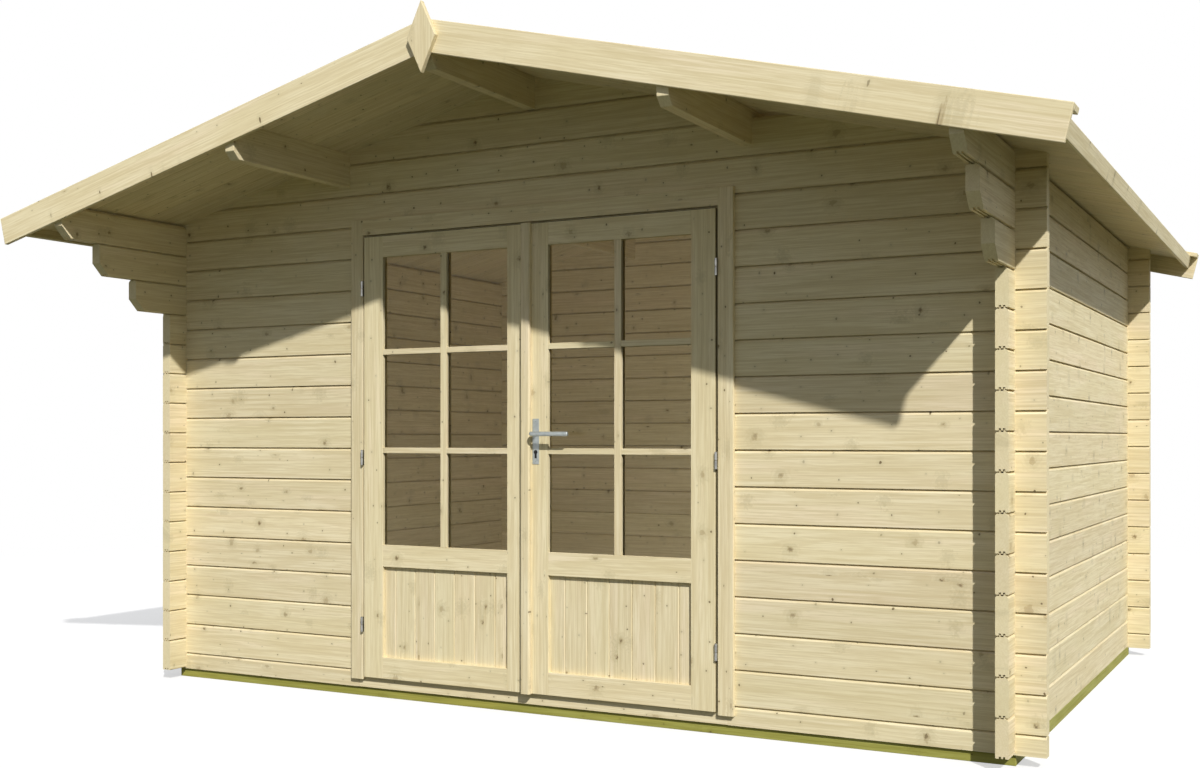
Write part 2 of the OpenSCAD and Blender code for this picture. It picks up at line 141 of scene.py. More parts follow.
spruce = {
    "pale": (0.812, 0.720, 0.488, 1), "warm": (0.765, 0.667, 0.428, 1),
    "late": (0.640, 0.532, 0.310, 1), "smudge": (0.430, 0.370, 0.210, 1),
    "knot": (0.135, 0.092, 0.042, 1), "knotRing": (0.350, 0.250, 0.120, 1),
    "cut": (0.740, 0.640, 0.400, 1), "rosy": (0.835, 0.718, 0.505, 1),
    "ringWidth": 0.0090, "ringDepth": 0.55, "tone": 0.07, "bump": 0.35,
    "pinKnots": {"density": 13.0, "share": 0.20, "size": 0.037, "depth": 0.9},
    "branchKnots": {"density": 6.6, "share": 0.42, "size": 0.064, "depth": 0.42},
    "smudges": {"density": 5.5, "share": 0.40, "size": 0.17, "depth": 0.30},
}
treated = {
    "pale": (0.385, 0.378, 0.096, 1), "warm": (0.335, 0.325, 0.070, 1),
    "late": (0.260, 0.246, 0.046, 1), "smudge": (0.200, 0.175, 0.030, 1),
    "knot": (0.080, 0.060, 0.020, 1), "knotRing": (0.150, 0.125, 0.030, 1),
    "cut": (0.320, 0.300, 0.060, 1), "rosy": (0.400, 0.370, 0.075, 1),
    "ringWidth": 0.0052, "ringDepth": 0.40, "tone": 0.08, "bump": 0.6,
    "pinKnots": {"density": 9.0, "share": 0.50, "size": 0.030, "depth": 0.6},
    "branchKnots": {"density": 4.4, "share": 0.60, "size": 0.036, "depth": 0.5},
    "smudges": {"density": 5.5, "share": 0.55, "size": 0.17, "depth": 0.30},
}
noises = {  # stretch, detail and roughness
    "wobble": ((90.0, 120.0, 0.0), 2.0, 0.55), "sway": ((1.1, 7.0, 7.0), 3.0, 0.55),
    "bands": ((1.0, 1.0, 1.0), 2.0, 0.55), "streak": ((2.2, 85.0, 85.0), 4.0, 0.7),
    "fibre": ((5.0, 210.0, 210.0), 3.0, 0.7), "cloud": ((2.2, 10.0, 10.0), 3.0, 0.55),
    "blush": ((1.4, 13.0, 13.0), 2.0, 0.55),
}
ranges = {  # the values at none and at full, and then what these two give instead of 0 and 1
    "wobble": (0.3, 0.7, -0.45, 0.45), "pin": (1.25, 0.6), "pinHalo": (5.0, 1.0),
    "disc": (1.15, 0.75), "eye": (0.7, 0.25), "halo": (3.8, 0.9), "smudge": (1.3, 0.1),
    "ringRise": (0.25, 0.85), "ringFall": (1.0, 0.93), "bands": (0.35, 0.7, 0.2, 1.0),
    "cloud": (0.35, 0.68), "blush": (0.50, 0.70, 0.0, 0.8), "streak": (0.46, 0.64, 0.0, 0.66),
    "fibre": (0.46, 0.62, 0.0, 0.58), "eyeDepth": (0.2, 1.0, 0.05, 0.75),
    "pinDepth": (0.0, 0.8, 0.3), "hue": (0.0, 1.0, 0.497, 0.503),
    "rough": (0.3, 0.7, 0.58, 0.74),
}
figure = {
    "pithTurn": 0.075,  # metres round the pith that one radian stands for
    "scatter": 0.9, "longer": 0.66, "smallest": 0.45, "sideShift": 1.7,
    "branchShift": 5.3, "smudgeShift": 9.1, "bandWidth": 0.02,
    "swaySweep": 0.030, "haloSweep": 0.014, "smudgeSweep": 0.012,
    "cutDepth": 0.5, "pinHaloDepth": 0.16, "haloDepth": 0.26, "toneRise": 0.4,
    "hueSpread": 7.31, "discRough": -0.16, "specular": 0.17, "reliefDepth": 0.0006,
    "ringRelief": 0.35, "fibreRelief": 0.45, "streakRelief": 0.30, "discRelief": 0.70,
}


def knotField(tree, shell, knots, shift):
    # branches run out from the pith, so they are scattered over (along, round) and not in depth
    density = knots["density"]
    flat = vectorStep(tree, "MULTIPLY", shell, (density * figure["longer"], density, 0.0))
    flat = vectorStep(tree, "ADD", flat, (shift, shift * figure["sideShift"], 0.0))
    cells = addNode(tree, "TexVoronoi", voronoi_dimensions="2D", feature="F1")
    setInputs(tree, cells, {"Scale": 1.0, "Randomness": figure["scatter"], "Vector": flat})
    split = addNode(tree, "SeparateColor")
    tree.links.new(cells.outputs["Color"], split.inputs[0])
    chosen = mathStep(tree, "GREATER_THAN", split.outputs[0], knots["share"])
    smallest = knots["size"] * figure["smallest"]
    radius = remap(tree, split.outputs[1], 0.0, 1.0, smallest, knots["size"], False)
    away = mathStep(tree, "DIVIDE", cells.outputs["Distance"], radius)
    wobble = noiseAt(tree, shell, *noises["wobble"])
    away = mathStep(tree, "ADD", away, remap(tree, wobble, *ranges["wobble"], False))
    return away, chosen, split.outputs[2]


def woodMaterial(name, look):
    material, tree, shader = newMaterial(name)
    grain, tone, cut = (addNode(tree, "Attribute", attribute_name=layer).outputs[out]
                        for layer, out in (("grain", "Vector"), ("tone", "Fac"), ("cut", "Fac")))
    side = mathStep(tree, "SUBTRACT", 1.0, cut)  # the marks of the sides fade out on sawn ends

    parts = addNode(tree, "SeparateXYZ")
    tree.links.new(grain, parts.inputs[0])
    turn = mathStep(tree, "ARCTAN2", parts.outputs[1], parts.outputs[2])
    shell = addNode(tree, "CombineXYZ")
    setInputs(tree, shell, {"X": parts.outputs[0], "Y": times(tree, turn, figure["pithTurn"])})
    shell = shell.outputs[0]

    def mark(away, span, chosen):
        return times(tree, remap(tree, away, *ranges[span]), chosen)

    pinAway, pinChosen, pinKind = knotField(tree, shell, look["pinKnots"], 0.0)
    pinChosen = times(tree, pinChosen, side)
    away, chosen, kind = knotField(tree, shell, look["branchKnots"], figure["branchShift"])
    chosen = times(tree, chosen, side)
    blur, blurChosen = knotField(tree, shell, look["smudges"], figure["smudgeShift"])[:2]
    pin, pinHalo = mark(pinAway, "pin", pinChosen), mark(pinAway, "pinHalo", pinChosen)
    disc, eye, halo = (mark(away, span, chosen) for span in ("disc", "eye", "halo"))
    smudge = mark(blur, "smudge", blurChosen)

    # growth rings round the pith, swept aside by the knots
    radius = vectorStep(tree, "LENGTH", vectorStep(tree, "MULTIPLY", grain, (0.0, 1.0, 1.0)), out=1)
    sway, streak, fibre, cloud, blush = (noiseAt(tree, grain, *noises[name]) for name in (
        "sway", "streak", "fibre", "cloud", "blush"))
    for field, sweep in ((sway, "swaySweep"), (halo, "haloSweep"), (smudge, "smudgeSweep")):
        radius = mathStep(tree, "MULTIPLY_ADD", field, figure[sweep], radius)
    ring = mathStep(tree, "FRACT", mathStep(tree, "DIVIDE", radius, look["ringWidth"]))
    bands = noiseAt(tree, mathStep(tree, "DIVIDE", radius, figure["bandWidth"]), *noises["bands"])
    late = mark(ring, "ringRise", remap(tree, ring, *ranges["ringFall"]))
    late = times(tree, late, remap(tree, bands, *ranges["bands"]))

    colour = mixColour(tree, remap(tree, cloud, *ranges["cloud"]), look["pale"], look["warm"])
    eyeDepth = remap(tree, kind, *ranges["eyeDepth"])
    pinDepth = remap(tree, pinKind, *ranges["pinDepth"], look["pinKnots"]["depth"])
    for amount, target in (
            (remap(tree, blush, *ranges["blush"]), "rosy"),
            (remap(tree, streak, *ranges["streak"]), "late"),
            (times(tree, late, look["ringDepth"]), "late"),
            (remap(tree, fibre, *ranges["fibre"]), "late"),
            (times(tree, cut, figure["cutDepth"]), "cut"),
            (times(tree, smudge, look["smudges"]["depth"]), "smudge"),
            (times(tree, pinHalo, figure["pinHaloDepth"]), "smudge"),
            (times(tree, halo, figure["haloDepth"]), "smudge"),
            (times(tree, disc, look["branchKnots"]["depth"]), "knotRing"),
            (times(tree, eye, eyeDepth), "knot"),
            (times(tree, pin, pinDepth), "knot")):
        colour = mixColour(tree, amount, colour, look[target])
    darkest, palest = 1.0 - look["tone"], 1.0 + look["tone"] * figure["toneRise"]
    tint = addNode(tree, "HueSaturation")
    hue = mathStep(tree, "FRACT", times(tree, tone, figure["hueSpread"]))
    setInputs(tree, tint, {"Hue": remap(tree, hue, *ranges["hue"], False), "Color": colour,
                           "Value": remap(tree, tone, 0.0, 1.0, darkest, palest, False)})

    relief = times(tree, late, figure["ringRelief"])
    for amount, weight in ((fibre, "fibreRelief"), (streak, "streakRelief"), (disc, "discRelief")):
        relief = mathStep(tree, "MULTIPLY_ADD", amount, figure[weight], relief)
    addBump(tree, shader, relief, look["bump"], figure["reliefDepth"])
    rough = remap(tree, streak, *ranges["rough"])
    rough = mathStep(tree, "MULTIPLY_ADD", disc, figure["discRough"], rough)
    setInputs(tree, shader, {"Base Color": tint.outputs[0], "Roughness": rough,
                             "Specular IOR Level": figure["specular"]})
    return material


metalFigure = {
    "cloud": ((60.0, 60.0, 60.0), 3.0), "cloudRange": (0.35, 0.7), "rough": 0.7,
    "dullRange": (0.45, 0.8, 0.0, 0.35), "roughRange": (0.3, 0.7), "smoother": 0.08, "rougher": 0.1,
    "bump": (0.25, 0.0001),
}


def metalMaterial(name, look):
    material, tree, shader = newMaterial(name)
    place = addNode(tree, "TexCoord").outputs["Object"]
    brushed = noiseAt(tree, place, look["brush"], 3.0, metalFigure["rough"])
    cloud = noiseAt(tree, place, *metalFigure["cloud"])
    colour = mixColour(tree, remap(tree, cloud, *metalFigure["cloudRange"]),
                       look["light"], look["dull"])
    colour = mixColour(tree, remap(tree, brushed, *metalFigure["dullRange"]), colour, look["dull"])
    rough = remap(tree, brushed, *metalFigure["roughRange"],
                  look["rough"] - metalFigure["smoother"], look["rough"] + metalFigure["rougher"])
    setInputs(tree, shader, {"Base Color": colour, "Roughness": rough, "Metallic": look["metal"]})
    addBump(tree, shader, brushed, *metalFigure["bump"])
    return material


glassFigure = {
    "ripple": ((3.0, 3.0, 5.0), 1.0), "dust": ((45.0, 45.0, 60.0), 5.0, 0.7),
    "dustRange": (0.4, 0.8, 0.0, 0.5), "roughRange": (0.45, 0.8, 0.0, 0.015),
    "bump": (0.05, 0.002),
}


def glassMaterial(name, look):
    material, tree, shader = newMaterial(name)
    place = addNode(tree, "TexCoord").outputs["Object"]
    ripple = noiseAt(tree, place, *glassFigure["ripple"])
    dust = noiseAt(tree, place, *glassFigure["dust"])
    film = remap(tree, dust, *glassFigure["dustRange"])
    setInputs(tree, shader, {
        "Base Color": mixColour(tree, film, look["clear"], look["film"]), "IOR": look["ior"],
        "Roughness": remap(tree, dust, *glassFigure["roughRange"]), "Transmission Weight": 1.0})
    addBump(tree, shader, ripple, *glassFigure["bump"])
    clear = addNode(tree, "BsdfTransparent")  # lamp light passes straight through
    clear.inputs[0].default_value = look["through"]
    path = addNode(tree, "LightPath")
    lamp = mathStep(tree, "MAXIMUM", path.outputs["Is Shadow Ray"], path.outputs["Is Diffuse Ray"])
    mixSurfaces(tree, lamp, shader, clear)
    return material


materials = {
    "spruce": woodMaterial("planedSpruce", spruce),
    "treated": woodMaterial("greenTreatedPine", treated),
    "handle": metalMaterial("satinAluminium", {
        "light": (0.42, 0.45, 0.44, 1), "dull": (0.33, 0.36, 0.36, 1),
        "brush": (900.0, 60.0, 60.0), "rough": 0.42, "metal": 0.55}),
    "zinc": metalMaterial("zincPlatedSteel", {
        "light": (0.40, 0.40, 0.38, 1), "dull": (0.25, 0.25, 0.24, 1),
        "brush": (60.0, 60.0, 500.0), "rough": 0.36, "metal": 1.0}),
    # keyhole and screw slots: near-black pieces, painted shade standing in for holes and grooves
    "lock": metalMaterial("keyholeAndSlotPaintedShade", {
        "light": (0.035, 0.035, 0.035, 1), "dull": (0.015, 0.015, 0.015, 1),
        "brush": (300.0, 300.0, 300.0), "rough": 0.5, "metal": 1.0}),
    # the door seal: its dark olive colour is painted shade, standing in for the shade inside the
    # gaps round the leaf
    "gapShade": metalMaterial("doorSealPaintedGapShade", {
        "light": (0.150, 0.125, 0.060, 1), "dull": (0.110, 0.090, 0.040, 1),
        "brush": (400.0, 400.0, 60.0), "rough": 0.8, "metal": 0.0}),
    "glass": glassMaterial("windowGlass", {
        "clear": (0.97, 0.97, 0.96, 1), "film": (0.88, 0.87, 0.84, 1),
        "through": (0.10, 0.10, 0.09, 1), "ior": 1.2}),
}
print("cabin: materials ready")


# blocks, outlines and cuts

def faceOutward(mesh):
    bmesh.ops.recalc_face_normals(mesh, faces=mesh.faces)


def newBlock(low, high):
    mesh = bmesh.new()
    bmesh.ops.create_cube(mesh, size=1.0)
    low, high = Vector(low), Vector(high)
    bmesh.ops.scale(mesh, vec=high - low, verts=mesh.verts)
    bmesh.ops.translate(mesh, vec=(low + high) / 2, verts=mesh.verts)
    return mesh


def extrudeOutline(points, length):
    # points are (y, z) corners, run along X from 0
    mesh = bmesh.new()
    face = mesh.faces.new([mesh.verts.new((0.0, y, z)) for y, z in points])
    grown = bmesh.ops.extrude_face_region(mesh, geom=[face])
    moved = [item for item in grown["geom"] if isinstance(item, bmesh.types.BMVert)]
    bmesh.ops.translate(mesh, vec=(length, 0.0, 0.0), verts=moved)
    faceOutward(mesh)
    return mesh


def spinOutline(points, steps=28):
    # points are (radius, z), turned round Z
    mesh = bmesh.new()
    verts = [mesh.verts.new((radius, 0.0, z)) for radius, z in points]
    edges = [mesh.edges.new(pair) for pair in zip(verts, verts[1:])]
    bmesh.ops.spin(mesh, geom=verts + edges, cent=(0, 0, 0), axis=(0, 0, 1),
                   angle=math.tau, steps=steps, use_merge=True)
    bmesh.ops.remove_doubles(mesh, verts=mesh.verts, dist=tiny)
    faceOutward(mesh)
    return mesh


def cutAway(mesh, point, normal):
    # removes what lies on the normal's side and closes the cut
    geometry = mesh.verts[:] + mesh.edges[:] + mesh.faces[:]
    bmesh.ops.bisect_plane(mesh, geom=geometry, dist=tiny, plane_co=point, plane_no=normal,
                           clear_outer=True)
    rim = [edge for edge in mesh.edges if edge.is_boundary]
    if rim:
        bmesh.ops.holes_fill(mesh, edges=rim, sides=0)
        faceOutward(mesh)


def bevelEdges(mesh, edges, width, segments=2):
    bmesh.ops.bevel(mesh, geom=edges, offset=width, offset_type="OFFSET", segments=segments,
                    profile=0.5, affect="EDGES", clamp_overlap=True, material=-1)


sharpTurn = math.radians(25)  # edges that turn less than this aren't eased


def easeEdges(mesh, width, segments=2):
    bevelEdges(mesh, [edge for edge in mesh.edges if edge.is_manifold
                      and edge.calc_face_angle(0.0) > sharpTurn], width, segments)


def easedBlock(low, high, ease, segments=2):
    mesh = newBlock(low, high)
    easeEdges(mesh, ease, segments)
    return mesh


def turnTo(mesh, xAxis, yAxis, zAxis, origin=(0.0, 0.0, 0.0)):
    # sends the mesh's own X, Y and Z to these directions
    matrix = Matrix((xAxis, yAxis, zAxis)).transposed().to_4x4()
    matrix.translation = Vector(origin)
    bmesh.ops.transform(mesh, matrix=matrix, verts=mesh.verts)
    if matrix.determinant() < 0:
        bmesh.ops.reverse_faces(mesh, faces=mesh.faces)


def mirrorTo(mesh, side):
    if side < 0:
        turnTo(mesh, -east, north, up)


def join(whole, part, side=1):
    mirrorTo(part, side)
    holder = bpy.data.meshes.new("holder")
    part.to_mesh(holder)
    whole.from_mesh(holder)
    bpy.data.meshes.remove(holder)
    part.free()


# where a board's middle may lie in its tree, and how square to the grain a sawn end has to be
boardPlace = {"along": 40, "aside": 0.05, "depth": (0.045, 0.12), "square": 0.7}


def addBoard(whole, part, along, face, pale=0.0):
    # along is the way of the grain, face the side that shows most
    along = Vector(along).normalized()
    across = along.cross(Vector(face)).normalized()
    face = across.cross(along).normalized()
    middle = sum((vert.co for vert in part.verts), Vector()) / len(part.verts)
    aside = boardPlace["aside"]
    pith = Vector((rng.uniform(0, boardPlace["along"]), rng.uniform(-aside, aside),
                   rng.choice((-1, 1)) * rng.uniform(*boardPlace["depth"])))
    tone = max(pale, rng.random())
    grainLayer = part.verts.layers.float_vector.new("grain")
    toneLayer = part.verts.layers.float.new("tone")
    cutLayer = part.faces.layers.float.new("cut")
    for vert in part.verts:
        offset = vert.co - middle
        vert[grainLayer] = pith + Vector((offset.dot(along), offset.dot(across), offset.dot(face)))
        vert[toneLayer] = tone
    part.normal_update()
    for surface in part.faces:
        surface[cutLayer] = float(abs(surface.normal.dot(along)) > boardPlace["square"])
    join(whole, part)


def placeObject(name, data):
    placed = bpy.data.objects.new(name, data)
    bpy.context.scene.collection.objects.link(placed)
    return placed


def placeMesh(name, mesh):
    data = bpy.data.meshes.new(name)
    mesh.to_mesh(data)
    mesh.free()
    return placeObject(name, data)


def finishPiece(whole, name, body, material, nodes=()):
    # edges shorter than the smallest real one are merged, where an ease had no room
    bmesh.ops.dissolve_degenerate(whole, dist=2e-5, edges=whole.edges)
    piece = placeMesh(name, whole)
    piece.data.materials.append(materials[material])
    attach(piece, body)
    if nodes:
        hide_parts(*nodes)


def finishWood(whole, name, node, body="house"):
    finishPiece(whole, name, body, "spruce", [node])


def boxOf(node):
    return [Vector(corner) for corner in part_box(node)]


# log walls

baseTop = boxOf("front_bearer")[1].z  # the lowest logs lie on this
frontFace = boxOf("front_sill_log")[0].y
rearFace = boxOf("rear_wall")[1].y
sideFace = boxOf("right_wall")[1].x
cornerEnd = boxOf("front_sill_log")[1].x
doorEdge = boxOf("front_wall_right")[0].x
logs = {
    "row": 0.135, "thickness": 0.044, "play": 0.0006, "ease": 0.0007, "endEase": 0.0020,
    "dripWidth": 0.0130, "knee": (0.0045, 0.0064), "nose": 0.0118, "footEase": 0.0008,
    "innerFoot": 0.0020, "innerHead": 0.0050, "innerDrop": 0.0042, "slotPlay": 0.0022,
    "tongues": (0.0150, 0.0285), "tongueWidth": 0.0036, "tongueHeight": 0.0035,
    "tongueTaper": 0.0008, "grooveDepth": 0.0070, "sillDrop": 0.0060, "sillEase": 0.001,
    "sawPlay": 0.0012,
    "sideRows": 12, "doorRows": 14, "gableRows": 4,
}
roof = {
    "pitch": math.radians(13.9), "boards": 0.019, "boardWidth": 0.096, "vee": 0.002,
    "cap": 0.020, "fasciaBack": 0.030, "fascia": 0.018, "fasciaHeight": 0.058,
    "fasciaGap": 0.0002, "joint": 0.00015, "ridgePlay": 0.0005, "ridgeLap": 0.03, "trimLap": 0.04,
    "frontBarge": 0.115, "rearBarge": 0.126, "boardEase": 0.0005, "edgeEase": 0.0018,
    "trimEase": 0.0022, "pale": 0.9,
}
roofTop = roof["boards"] + roof["cap"]
ridgeHeight = boxOf("front_verge_caps")[1].z - roofTop / math.cos(roof["pitch"])
walls = {  # a point of each outer face, the way its logs run and the way in
    "front": (north * frontFace, east, north), "rear": (north * rearFace, east, -north),
    "left": (-east * sideFace, north, east), "right": (east * sideFace, north, -east),
}
sides = ((-1, "left"), (1, "right"))


def logOutline():
    # seen on end from the outer face: grooves below, two tongues and a drip nose above
    thick, high = logs["thickness"], logs["row"] - logs["play"]
    foot = logs["tongueWidth"] / 2
    tip = foot - logs["tongueTaper"]
    slot = foot + logs["slotPlay"]
    inner = high - logs["innerDrop"]
    points = [(0.0, logs["footEase"]), (logs["footEase"], 0.0)]
    for centre in logs["tongues"]:
        points += [(centre - slot, 0.0), (centre - slot, logs["grooveDepth"]),
                   (centre + slot, logs["grooveDepth"]), (centre + slot, 0.0)]
    points += [(thick - logs["innerFoot"], 0.0), (thick, logs["innerFoot"]),
               (thick, inner - logs["innerHead"]), (thick - logs["innerHead"], inner)]
    for centre, level in zip(reversed(logs["tongues"]), (inner, high)):
        points += [(centre + foot, inner), (centre + tip, high + logs["tongueHeight"]),
                   (centre - tip, high + logs["tongueHeight"]), (centre - foot, level)]
    knee, fall = logs["knee"]
    return points + [(logs["dripWidth"], high), (knee, high - fall), (0.0, high - logs["nose"])]


def slopeAxes(side):
    # down the slope, along the ridge and out of the roof
    tilt = roof["pitch"]
    return (Vector((side * math.cos(tilt), 0, -math.sin(tilt))), north,
            Vector((side * math.sin(tilt), 0, math.cos(tilt))))


def slopeCuts():
    # the planes of the roof boards' underside, each with its upward normal
    return [(up * ridgeHeight, slopeAxes(side)[2]) for side in (-1, 1)]


def layLog(whole, wall, start, end, row, cuts=()):
    # one log on the given row, with its ends sawn a hair unevenly and their corners eased
    face, run, inward = walls[wall]
    start += rng.uniform(0.0, logs["sawPlay"])
    end -= rng.uniform(0.0, logs["sawPlay"])
    part = extrudeOutline(logOutline(), end - start)
    rims = [edge for edge in part.edges
            if abs(edge.verts[0].co.x - edge.verts[1].co.x) < tiny]
    bevelEdges(part, rims, logs["endEase"])
    turnTo(part, run, inward, up, face + run * start + up * (baseTop + row * logs["row"]))
    for point, normal in cuts:
        cutAway(part, point, normal)
    easeEdges(part, logs["ease"], 1)
    addBoard(whole, part, run, inward)


def buildWalls():
    # the lowest log is sawn in half
    foot, shoulder = baseTop - logs["sillDrop"], baseTop + 0.5 * logs["row"] - logs["play"]
    underBase = (up * foot, -up)
    sill = bmesh.new()
    threshold = easedBlock((-doorEdge, frontFace, foot),
                           (doorEdge, frontFace + logs["thickness"], shoulder), logs["sillEase"], 1)
    addBoard(sill, threshold, east, north)
    layLog(sill, "front", -cornerEnd, -doorEdge, -0.5, [underBase])
    layLog(sill, "front", doorEdge, cornerEnd, -0.5, [underBase])
    finishWood(sill, "sillLog", "front_sill_log")

    for name, near, far in (("left", -cornerEnd, -doorEdge), ("right", doorEdge, cornerEnd)):
        whole = bmesh.new()
        for row in range(logs["doorRows"]):
            layLog(whole, "front", near, far, row + 0.5)
        finishWood(whole, name + "FrontLogs", "front_wall_" + name)

    rear = bmesh.new()
    layLog(rear, "rear", -cornerEnd, cornerEnd, -0.5, [underBase])
    for row in range(logs["doorRows"]):
        layLog(rear, "rear", -cornerEnd, cornerEnd, row + 0.5)
    finishWood(rear, "rearLogs", "rear_wall")

    for wall in ("left", "right"):
        low, high = boxOf(wall + "_wall")
        whole = bmesh.new()
        for row in range(logs["sideRows"]):
            layLog(whole, wall, low.y, high.y, row)
        finishWood(whole, wall + "SideLogs", wall + "_wall")


def buildGables():
    # logs sawn to the slope of the roof; the third row ends at the side purlins
    purlinInner = boxOf("right_purlin")[0].x
    for wall in ("front", "rear"):
        whole = bmesh.new()
        for step in range(logs["gableRows"]):
            row = logs["doorRows"] + 0.5 + step
            reach = (ridgeHeight - baseTop - row * logs["row"]) / math.tan(roof["pitch"])
            reach = purlinInner if step == 2 else min(cornerEnd, reach)
            layLog(whole, wall, -reach, reach, row, slopeCuts())
        finishWood(whole, wall + "GableLogs", wall + "_gable")


consoles = {"reach": (0.305, 0.508), "bevel": 0.050}


def buildEaveLogs():
    # the top three rows of a side wall, each reaching further forward than the one below
    for wall in ("left", "right"):
        low, high = boxOf(wall + "_eave_logs")
        starts = [frontFace - reach for reach in consoles["reach"]] + [low.y]
        ends = [boxOf(wall + "_wall")[1].y] * 2 + [high.y]
        whole = bmesh.new()
        for step, (start, end) in enumerate(zip(starts, ends)):
            row = logs["sideRows"] + step
            foot = Vector((0, start + consoles["bevel"], baseTop + row * logs["row"]))
            bevel = (foot, Vector((0, -1, -1)).normalized())
            layLog(whole, wall, start, end, row, [bevel] + slopeCuts())
        finishWood(whole, wall + "EaveLogs", wall + "_eave_logs")


buildWalls()
buildGables()
buildEaveLogs()
print("cabin: log walls laid")


# roof

roofLow, roofHigh = boxOf("right_roof_boards")
slopeLength = (boxOf("front_barge_boards")[1].x - roofTop * math.sin(roof["pitch"])) \
    / math.cos(roof["pitch"])  # down the slope to the ends of the barge boards
fasciaOut = slopeLength - roof["fasciaBack"]


def addSlopeBoard(whole, side, low, high, ease, alongRidge=False, underVees=(), pale=0.0):
    # low and high are (down the slope, y, out of the roof); vees are cut along the lower edges
    part = newBlock(low, high)
    vees = [edge for edge in part.edges
            if all(vert.co.z < low[2] + tiny for vert in edge.verts)
            and any(all(abs(vert.co.y - y) < tiny for vert in edge.verts) for y in underVees)]
    if vees:
        bevelEdges(part, vees, roof["vee"], 1)
    down, along, out = slopeAxes(side)
    turnTo(part, down, along, out, (0, 0, ridgeHeight))
    if not alongRidge:
        cutAway(part, Vector((side * roof["ridgePlay"], 0, 0)), Vector((-side, 0, 0)))
    easeEdges(part, ease, 1 if underVees else 2)
    addBoard(whole, part, along if alongRidge else down, out, pale)


def buildRoofBoards():
    width, joint = roof["boardWidth"], roof["joint"]
    count = round((roofHigh.y - roofLow.y) / width)
    foot = fasciaOut - roof["fascia"] - roof["fasciaGap"]
    for side, name in sides:
        whole = bmesh.new()
        for index in range(count):
            near = roofLow.y + index * width + joint
            far = roofHigh.y if index == count - 1 else near + width - 2 * joint
            addSlopeBoard(whole, side, (-roof["ridgeLap"], near, 0.0), (foot, far, roof["boards"]),
                          roof["boardEase"], underVees=(near, far))
        finishWood(whole, name + "RoofBoards", name + "_roof_boards")


def buildRoofTrim():
    boardTop = roof["boards"]
    fascias = bmesh.new()
    for side in (-1, 1):
        addSlopeBoard(fascias, side,
                      (fasciaOut - roof["fascia"], roofLow.y, boardTop - roof["fasciaHeight"]),
                      (fasciaOut, roofHigh.y, boardTop), roof["edgeEase"], alongRidge=True)
    finishWood(fascias, "eaveFascias", "eave_fascias")

    for end in ("front", "rear"):
        barge, cap = boxOf(end + "_barge_boards"), boxOf(end + "_verge_caps")
        boards, caps = bmesh.new(), bmesh.new()
        for side in (-1, 1):
            for whole, box, under in ((boards, barge, roofTop - roof[end + "Barge"]),
                                      (caps, cap, boardTop)):
                addSlopeBoard(whole, side, (-roof["trimLap"], box[0].y, under),
                              (slopeLength, box[1].y, roofTop), roof["trimEase"],
                              pale=roof["pale"])
        finishWood(boards, end + "BargeBoards", end + "_barge_boards")
        finishWood(caps, end + "VergeCaps", end + "_verge_caps")

    low, high = boxOf("gable_diamonds")
    thick = boxOf("front_barge_boards")[0].y - low.y
    middle = (low.z + high.z) / 2
    diamonds = bmesh.new()
    for start in (low.y, high.y - thick):
        part = extrudeOutline([(0, low.z), (high.x, middle), (0, high.z), (-high.x, middle)], thick)
        turnTo(part, north, east, up, north * start)
        easeEdges(part, roof["edgeEase"])
        addBoard(diamonds, part, up, north)
    finishWood(diamonds, "gableDiamonds", "gable_diamonds")


purlins = {"bevel": 0.030, "spare": 0.03, "ease": 0.002}


def buildPurlins():
    # cut from taller blocks by the slopes of the roof
    bevel = purlins["bevel"]
    for name in ("ridge", "left", "right"):
        low, high = boxOf(name + "_purlin")
        part = newBlock(low, high + up * purlins["spare"])
        cutAway(part, (0, low.y + bevel, low.z), Vector((0, -1, -1)).normalized())
        cutAway(part, (0, high.y - bevel, low.z), Vector((0, 1, -1)).normalized())
        for point, normal in slopeCuts():
            cutAway(part, point, normal)
        easeEdges(part, purlins["ease"])
        whole = bmesh.new()
        addBoard(whole, part, north, east)
        finishWood(whole, name + "Purlin", name + "_purlin")


buildRoofBoards()
buildRoofTrim()
buildPurlins()
print("cabin: roof built")


# bearers and door frame

bearers = {"back": 0.005, "ease": 0.002}
doorFrame = {"coverMore": 0.002, "headDrop": 0.008, "jambEase": 0.0015, "coverEase": 0.0022}


def plainBoard(name, node, along, ease, fromLow=(0, 0, 0), fromHigh=(0, 0, 0), face=north,
               material="spruce"):
    # fromLow and fromHigh are added to the corners of the node's box
    low, high = boxOf(node)
    part = easedBlock(low + Vector(fromLow), high + Vector(fromHigh), ease)
    whole = bmesh.new()
    addBoard(whole, part, along, face)
    finishPiece(whole, name, "house", material, [node])


def buildBearers():
    # the sill logs hang a little over the faces of the front and rear bearers
    drop, back = -logs["sillDrop"], bearers["back"]
    for name, along, face, fromLow, fromHigh in (
            ("front", east, north, (0, back, 0), (0, 0, drop)),
            ("rear", east, north, (0, 0, 0), (0, -back, drop)),
            ("left", north, east, (0, 0, 0), (0, 0, 0)),
            ("right", north, east, (0, 0, 0), (0, 0, 0))):
        plainBoard(name + "Bearer", name + "_bearer", along, bearers["ease"], fromLow, fromHigh,
                   face, "treated")


def buildDoorFrame():
    more, jambEase, coverEase = (doorFrame[key] for key in ("coverMore", "jambEase", "coverEase"))
    for name, fromLow, fromHigh in (("left", 0, more), ("right", -more, 0)):
        plainBoard(name + "Jamb", name + "_jamb", up, jambEase)
        plainBoard(name + "CoverBoard", name + "_cover_board", up, coverEase,
                   (fromLow, 0, 0), (fromHigh, 0, 0))
    plainBoard("headJamb", "door_head_jamb", east, jambEase)
    plainBoard("headCoverBoard", "head_cover_board", east, coverEase,
               (0, 0, -doorFrame["headDrop"]))


buildBearers()
buildDoorFrame()
print("cabin: bearers and door frame built")


# door leaves, shaped as the right leaf and mirrored for the left one

